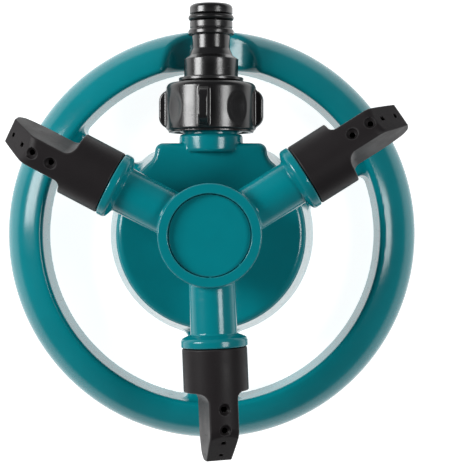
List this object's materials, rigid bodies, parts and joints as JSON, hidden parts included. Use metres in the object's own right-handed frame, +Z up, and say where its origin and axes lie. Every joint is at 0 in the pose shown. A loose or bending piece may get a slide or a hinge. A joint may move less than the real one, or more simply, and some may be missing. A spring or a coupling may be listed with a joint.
{
  "type": "lawn sprinkler",
  "caption": "Rotary lawn sprinkler on an open ring base, with a spinning arm hub, tilting spray nozzles and a quick-connect hose inlet held by a threaded nut.",
  "frame": {"origin": "on the ground, at the centre of the bottom cover, under the rotor's axis", "axes": "+Z up along the rotor's axis, +Y along the inlet towards the hose, +X to the right of it"},
  "size_m": [0.16, 0.1671, 0.0749],
  "materials": {
    "teal_plastic": "glossy moulded plastic",
    "black_plastic": "fine-grained matt moulded plastic",
    "connector_plastic": "satin moulded plastic",
    "cover_plastic": "satin moulded plastic",
    "seal_rubber": "matt rubber",
    "bearing_plastic": "smooth acetal",
    "stainless_steel": "turned steel"
  },
  "bodies": {
    "base": {"base_frame": "teal_plastic", "bottom_cover": "cover_plastic", "cover_screw_1": "stainless_steel", "cover_screw_2": "stainless_steel", "cover_screw_3": "stainless_steel", "riser_spindle": "bearing_plastic", "riser_seal": "seal_rubber", "thrust_washer": "bearing_plastic", "retaining_washer": "stainless_steel", "retaining_ring": "stainless_steel"},
    "rotor": {"rotor_hub": "teal_plastic", "bearing_bush": "bearing_plastic", "hub_seal": "seal_rubber", "hub_cap": "teal_plastic", "cap_seal": "seal_rubber", "arm_seal_1": "seal_rubber", "arm_seal_2": "seal_rubber", "arm_seal_3": "seal_rubber"},
    "nozzle_1": {"nozzle_head_1": "black_plastic"},
    "nozzle_2": {"nozzle_head_2": "black_plastic"},
    "nozzle_3": {"nozzle_head_3": "black_plastic"},
    "connector": {"quick_connector": "connector_plastic", "connector_seal": "seal_rubber", "inlet_washer": "seal_rubber"},
    "nut": {"connector_nut": "connector_plastic"}
  },
  "joints": [
    {"name": "rotor_spin", "type": "hinge", "parent": "base", "child": "rotor", "pos_m": [0, 0, 0.063], "axis": [0, 0, 1], "continuous": true},
    {"name": "nozzle_tilt_1", "type": "hinge", "parent": "rotor", "child": "nozzle_1", "pos_m": [0.0022, -0.05476, 0.063], "axis": [-0.0401, 0.9992, 0], "range_deg": [-15, 45]},
    {"name": "nozzle_tilt_2", "type": "hinge", "parent": "rotor", "child": "nozzle_2", "pos_m": [-0.04852, 0.02547, 0.063], "axis": [0.8854, -0.4648, 0], "range_deg": [-15, 45]},
    {"name": "nozzle_tilt_3", "type": "hinge", "parent": "rotor", "child": "nozzle_3", "pos_m": [0.04632, 0.02928, 0.063], "axis": [-0.8453, -0.5344, 0], "range_deg": [-15, 45]},
    {"name": "nut_travel", "type": "slide", "parent": "base", "child": "connector", "axis": [0, 1, 0], "range_m": [0, 0.00726]},
    {"name": "nut_turn", "type": "hinge", "parent": "connector", "child": "nut", "pos_m": [0, 0.048, 0.028], "axis": [0, 1, 0], "range_deg": [0, 1440]}
  ],
  "couplings": [
    {"joint": "nut_travel", "follows": "nut_turn", "m_per_rad": 0.00028871}
  ]
}
